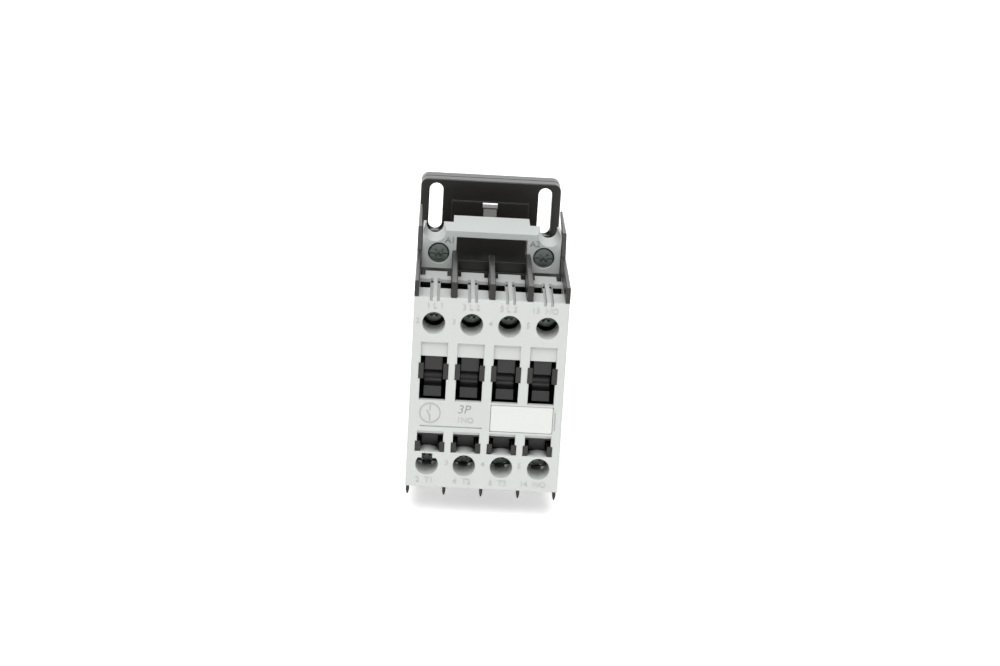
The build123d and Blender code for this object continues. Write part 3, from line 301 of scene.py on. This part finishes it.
# Each row of marks: the height of its capitals, its height on the face, then the words and
# their places across.
MARK_ROWS = (
    (1.75, 21.5, (("1 L 1", -16.3), ("3 L 2", -5.9), ("5 L 3", 4.9), ("13  NO", 15.5))),
    (1.75, -32.3, (("2  T1", -17.0), ("4  T2", -5.9), ("6  T3", 4.7), ("14  NO", 15.1))),
    (1.7, 16.9, (("2", -21.2), ("3", -10.7), ("4", 0.0), ("5", 10.8))),
    (1.6, -26.6, (("3", -10.7), ("4", 0.0), ("5", 10.8))),
    (1.7, -13.1, (("1NO", -5.9),)),
)

marks = bmesh.new()
for capitals, z, row in MARK_ROWS:
    for words, x in row:
        raised_text(marks, words, capitals, x, z, FRONT_Y)
# The same plastic as the face, with painted shade: drawn darker to stand in for the shade
# along the sides of such low letters, so that they can be read.
mark_grey = plastic("polyamide_raised_mark_painted_shade", "#b9bcb9", "#b4b7b4", 0.5)
finished_piece("raised_terminal_marks", marks, mark_grey, "base")

SYMBOL_X, SYMBOL_Z = -16.3, -11.2
RING_RADIUS = 3.15
LINE_WIDTH = 0.35
LEAD_LENGTH, LEAD_OFF, LEAD_ANGLE = 1.6, 1.6, 90         # above and below the middle
BLADE_LENGTH, BLADE_OFF, BLADE_ANGLE = 2.0, 0.5, 118     # the open contact between them

symbol = bmesh.new()
raised_ring(symbol, SYMBOL_X, SYMBOL_Z, RING_RADIUS, LINE_WIDTH, FRONT_Y)
for off in (LEAD_OFF, -LEAD_OFF):
    raised_bar(symbol, SYMBOL_X, SYMBOL_Z + off, LEAD_LENGTH, LINE_WIDTH, LEAD_ANGLE, FRONT_Y)
raised_bar(symbol, SYMBOL_X - BLADE_OFF, SYMBOL_Z, BLADE_LENGTH, LINE_WIDTH, BLADE_ANGLE, FRONT_Y)
# The same plastic again, with painted shade: its thin lines are drawn darker, standing in
# for the shade along their sides, and a little warmer, to show.
symbol_grey = plastic("polyamide_raised_symbol_painted_shade", "#b0b1ab", "#a8a9a3", 0.5)
finished_piece("raised_contact_symbol", symbol, symbol_grey, "base")

COUNT_CAPITALS, COUNT_X, COUNT_Z = 2.6, -6.5, -9.85
COUNT_LEAN = 0.2
INK_RISE = 0.03

printed = bmesh.new()
raised_text(printed, "3P", COUNT_CAPITALS, COUNT_X, COUNT_Z, FRONT_Y, lean=COUNT_LEAN, rise=INK_RISE)
# Ink dries flat and matt, so it shows as an even mid grey with clean edges.
ink = plastic("pad_printed_ink_grey", "#979996", "#8f918e", 0.55, relief=0.1)
finished_piece("printed_pole_count", printed, ink, "base")


# ---- Label plate: smooth white plastic, snapped into its recess ---------------------------
# It is blank, as delivered, for the installer to write on.

# Smoother and whiter than the housing, with more sheen and hardly any grain.
blank_white = plastic("label_plate_smooth_white", "#d0d2cf", "#cdcfcc", 0.36, 0.5, 0.08)
finish_nodes(blank_white, "label_plate")


# ---- Contact housing and base: near-black thermoset, compression moulded ------------------
# The housing holds the fixed contacts and its barriers part the poles. The base carries the
# magnet, the rail channel and the screw slots.

# Slightly brown and semi-matt, with a faint drift of tone and a light line along each edge.
# The grain is drawn at a third of a millimetre, coarser than the real one, so that it shows.
thermoset = plastic("thermoset_moulded_near_black", "#1d1b19", "#171614", 0.34, 0.35, 0.35)
finish_nodes(thermoset, "contact_housing", "base_housing")


# ---- Coil terminal block: cool grey polyamide bridge with the coil's two terminals ---------
# It bridges the upper part of the front, with its marks raised beside the two holes.

COIL_FACE_Y = -46.5 * MM     # the block's face lies behind the front
COIL_CAPITALS, COIL_MARK_Z = 1.9, 32.0

# The same matt grain as the front, a cooler and slightly darker grey.
cool_grey = plastic("polyamide_moulded_cool_grey", "#bcc1bf", "#b6bbb9", 0.46)
finish_nodes(cool_grey, "coil_terminal_block")
coil_marks = bmesh.new()
for words, x in (("A1", -12.65), ("A2", 13.1)):
    raised_text(coil_marks, words, COIL_CAPITALS, x, COIL_MARK_Z, COIL_FACE_Y)
# The same plastic as the block, with painted shade: drawn darker to stand in for the shade
# along the sides of such low letters, so that they can be read.
coil_mark_grey = plastic("polyamide_coil_mark_painted_shade", "#8f9593", "#8a908e", 0.5)
finished_piece("raised_coil_marks", coil_marks, coil_mark_grey, "base")


# ---- Contact carrier and rail latch: black glass-filled polyamide ---------------------------
# The carrier's four heads show in the front windows. The latch slides behind the base.

# The glass fibres near the skin leave it satin and a little uneven, a colder black than the
# thermoset. The grain is drawn coarser than the fibres, so that it shows.
black = plastic("polyamide_glass_filled_black", "#1b1b1a", "#161615", 0.38, 0.3, 0.35)
finish_nodes(black, "contact_carrier", "rail_latch")


# ---- Springs: wound steel wire with open ends -----------------------------------------------
# Two return springs between the bobbin and the carrier, four contact springs over the
# bridges and one behind the rail latch.

METAL_DRIFT = 0.1            # how much the gloss of a worked metal varies


def metal(name, colour, shade, roughness, stretch=(1, 1, 1), grain_mm=0.4, relief=0.2):
    """Metal with fine drawn or tumbled marks, stretched along the way it was worked."""
    material, tree, place = new_material(name)
    spread = add_node(tree, "ShaderNodeMapping", {"Vector": place}, Scale=stretch).outputs["Vector"]
    scratch = add_node(tree, "ShaderNodeTexNoise", {"Vector": spread},
                       Scale=1 / (grain_mm * MM), Detail=4.0)
    gloss = add_node(tree, "ShaderNodeMapRange", {"Value": scratch.outputs["Fac"]},
                     To_Min=roughness - METAL_DRIFT, To_Max=roughness + METAL_DRIFT)
    bump = add_node(tree, "ShaderNodeBump", {"Height": scratch.outputs["Fac"]},
                    Strength=relief, Distance=GRAIN_DEPTH)
    shader = add_node(tree, "ShaderNodeBsdfPrincipled", {
        "Base Color": two_tone(tree, scratch.outputs["Fac"], colour, shade),
        "Roughness": gloss.outputs["Result"],
        "Normal": bump.outputs["Normal"],
    }, Metallic=1.0)
    add_node(tree, "ShaderNodeOutputMaterial", {"Surface": shader.outputs["BSDF"]})
    return material


def spring_group():
    """Geometry nodes: one wound spring from a spiral and a round wire, put at each point."""
    group = bpy.data.node_groups.new("wound_spring", "GeometryNodeTree")
    group.interface.new_socket("Points", in_out="INPUT", socket_type="NodeSocketGeometry")
    group.interface.new_socket("Springs", in_out="OUTPUT", socket_type="NodeSocketGeometry")
    sockets = {}
    for name, kind in (("Mean Radius", "Float"), ("Wire Radius", "Float"), ("Turns", "Float"),
                       ("Height", "Float"), ("Turned", "Vector"), ("Wire", "Material")):
        made = group.interface.new_socket(name, in_out="INPUT", socket_type=f"NodeSocket{kind}")
        sockets[name] = made.identifier
    given = add_node(group, "NodeGroupInput").outputs
    spiral = add_node(group, "GeometryNodeCurveSpiral", {
        "Rotations": given["Turns"],
        "Start Radius": given["Mean Radius"],
        "End Radius": given["Mean Radius"],
        "Height": given["Height"],
    }, Resolution=28)
    wire = add_node(group, "GeometryNodeCurvePrimitiveCircle", {
        "Radius": given["Wire Radius"],
    }, Resolution=10)
    coil = add_node(group, "GeometryNodeCurveToMesh", {
        "Curve": spiral.outputs["Curve"],
        "Profile Curve": wire.outputs["Curve"],
    }, Fill_Caps=True)
    placed = add_node(group, "GeometryNodeInstanceOnPoints", {
        "Points": given["Points"],
        "Instance": coil.outputs["Mesh"],
        "Rotation": given["Turned"],
    })
    real = add_node(group, "GeometryNodeRealizeInstances", {"Geometry": placed.outputs["Instances"]})
    done = add_node(group, "GeometryNodeSetMaterial", {
        "Geometry": real.outputs["Geometry"],
        "Material": given["Wire"],
    })
    add_node(group, "NodeGroupOutput", {"Springs": done.outputs["Geometry"]})
    return group, sockets


wound, wound_sockets = spring_group()
# Drawn through a die and left bare: bright grey, with small changes in the gloss.
spring_wire = metal("steel_spring_wire_drawn", "#a9a9a6", "#8f8f8c", 0.32, grain_mm=0.3)


def springs(name, radius, wire, turns, feet, height, turned, body):
    """Wound springs, all sizes in mm; a foot is the middle of the wire at the first turn."""
    points = bpy.data.meshes.new(name)
    points.from_pydata([[part * MM for part in foot] for foot in feet], [], [])
    holder = bpy.data.objects.new(name + "_points", points)
    scene.collection.objects.link(holder)
    modifier = holder.modifiers.new("wound", "NODES")
    modifier.node_group = wound
    values = {
        "Mean Radius": radius * MM,
        "Wire Radius": wire * MM / 2,
        "Turns": float(turns),
        "Height": (height - wire) * MM,
        "Turned": turned,
        "Wire": spring_wire,
    }
    for key, value in values.items():
        modifier[wound_sockets[key]] = value
    holder.update_tag()
    shown = holder.evaluated_get(bpy.context.evaluated_depsgraph_get())
    mesh = bpy.data.meshes.new_from_object(shown)
    bpy.data.objects.remove(holder)
    mesh.shade_smooth()
    return finished_piece(name, mesh, spring_wire, body)


FORWARD = (radians(90), 0.0, 0.0)
UPRIGHT = (0.0, 0.0, 0.0)

RETURN_FOOT, RETURN_LENGTH = -33.3, 12.25
RETURN_RADIUS, RETURN_WIRE, RETURN_TURNS = 1.9, 0.5, 7
RETURN_SIDE = 10.9           # from the middle to each return spring
feet = [(0, RETURN_FOOT - RETURN_WIRE / 2, side * RETURN_SIDE) for side in (-1, 1)]
wound_return = springs("return_springs_wound", RETURN_RADIUS, RETURN_WIRE, RETURN_TURNS,
                       feet, RETURN_LENGTH, FORWARD, "base")
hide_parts("return_springs")
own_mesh(wound_return)

CONTACT_FOOT, CONTACT_LENGTH = -67.62, 5.5
CONTACT_RADIUS, CONTACT_WIRE, CONTACT_TURNS = 1.15, 0.36, 5
CONTACT_PITCH = 10.6         # from bridge to bridge
CONTACT_START = CONTACT_FOOT - CONTACT_WIRE / 2
feet = [(pole * CONTACT_PITCH, CONTACT_START, 0) for pole in (-1.5, -0.5, 0.5, 1.5)]
wound_contact = springs("contact_springs_wound", CONTACT_RADIUS, CONTACT_WIRE, CONTACT_TURNS,
                        feet, CONTACT_LENGTH, FORWARD, "carrier")
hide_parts("contact_springs")
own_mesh(wound_contact)

LATCH_FOOT, LATCH_LENGTH = -34.2, 10.2
LATCH_RADIUS, LATCH_WIRE, LATCH_TURNS = 1.35, 0.45, 7
LATCH_SPRING_Y = 3.1
feet = [(0, LATCH_SPRING_Y, LATCH_FOOT + LATCH_WIRE / 2)]
wound_latch = springs("latch_spring_wound", LATCH_RADIUS, LATCH_WIRE, LATCH_TURNS,
                      feet, LATCH_LENGTH, UPRIGHT, "base")
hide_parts("latch_spring")
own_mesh(wound_latch)


# ---- Terminal screws, clamps and case screws: zinc-plated and passivated steel --------------
# Screw heads are pressed and tumbled, clamp plates are stamped from strip.

# A slightly green, dull grey with spots of brighter zinc where the tumbling rubbed it.
passivated = metal("steel_zinc_passivated_tumbled", "#a3aba6", "#737b76", 0.3, grain_mm=0.5)
# Darker and flatter, with long marks of the rolling that run up the plate.
stamped = metal("steel_zinc_stamped_plate", "#7c827e", "#646a66", 0.42, (1, 1, 0.2))
finish_nodes(passivated, "line_screws", "load_screws", "coil_screws", "case_screws", "armature_pin")
finish_nodes(stamped, "line_clamps", "load_clamps", "coil_clamps")


# ---- Current path: tinned copper-alloy contacts, copper bridges, silver tips -----------------
# The fixed contacts and the coil's leads are stamped strip. The tips are riveted on.
# The rolling leaves long marks on the strip, and the pressing leaves the tips even.

# Hot-dipped tin over copper: a warm, dull grey.
tinned = metal("copper_alloy_tinned_strip", "#8d887e", "#767168", 0.4, (1, 1, 0.15))
# Bare copper with a light tarnish, so brown rather than pink.
copper = metal("copper_bridge_stamped", "#a8714c", "#8e5c3c", 0.34, (1, 1, 0.15))
# Pale and the brightest metal in the part.
silver = metal("silver_alloy_tip_pressed", "#cfcdc8", "#b7b5b0", 0.3, grain_mm=0.3)
# Muted yellow with a satin gloss.
brass = metal("brass_lead_stamped", "#b79a5c", "#9f8349", 0.36, (1, 0.2, 1))
finish_nodes(tinned, "line_contacts", "load_contacts")
finish_nodes(copper, "contact_bridges")
finish_nodes(silver, "fixed_contact_tips", "moving_contact_tips")
finish_nodes(brass, "coil_leads")


# ---- Magnet: riveted stacks of steel sheet, with copper shading rings and rubber pads --------
# The edges of the sheets show as fine lines across the stack.

WAVE_STEP = 20               # a wave texture turns this many radians in one unit of scale
SHEET = 0.5                  # thickness of a steel sheet, in mm


def banded(name, colour, shade, roughness, direction, pitch_mm, metallic, relief):
    """Sheets or turns of wire that lie side by side at an even pitch."""
    material, tree, place = new_material(name)
    rows = add_node(tree, "ShaderNodeTexWave", {"Vector": place}, bands_direction=direction,
                    Scale=2 * pi / WAVE_STEP / (pitch_mm * MM), Distortion=0.15)
    bump = add_node(tree, "ShaderNodeBump", {"Height": rows.outputs["Fac"]},
                    Strength=relief, Distance=0.05 * MM)
    shader = add_node(tree, "ShaderNodeBsdfPrincipled", {
        "Base Color": two_tone(tree, rows.outputs["Fac"], shade, colour),
        "Normal": bump.outputs["Normal"],
    }, Metallic=metallic, Roughness=roughness)
    add_node(tree, "ShaderNodeOutputMaterial", {"Surface": shader.outputs["BSDF"]})
    return material


# Bare steel sheets side by side: grey bands with darker gaps between them.
laminations = banded("steel_laminations_riveted", "#77777a", "#4e4e50", 0.45, "Z", SHEET, 1.0, 0.5)
finish_nodes(laminations, "fixed_core", "moving_core")
# Reddish and satin where it was pressed into its slot.
shading_copper = metal("copper_shading_ring_pressed", "#a8653f", "#8d5232", 0.38)
finish_nodes(shading_copper, "shading_rings")
# A matt dark grey with hardly any highlight.
rubber = plastic("rubber_pad_moulded", "#242424", "#1c1c1c", 0.7, 0.4)
finish_nodes(rubber, "core_cushions")


# ---- Coil: enamelled wire wound on a natural glass-filled bobbin ------------------------------
# The turns lie side by side along the bobbin, between its two flanges.

TURN_PITCH = 0.25            # in mm, coarser than the real wire, so that the turns show

# Glossy red-brown enamel over the copper, with a dark line between the turns.
winding = banded("copper_wire_enamelled_wound", "#9a4a22", "#5f2a12", 0.3, "Y", TURN_PITCH, 0.6, 0.6)
finish_nodes(winding, "coil_winding")
# Uncoloured plastic: a matt cream that yellows slightly with heat.
natural = plastic("polyamide_natural_glass_filled", "#c9bfa6", "#bfb498", 0.5)
finish_nodes(natural, "coil_bobbin")
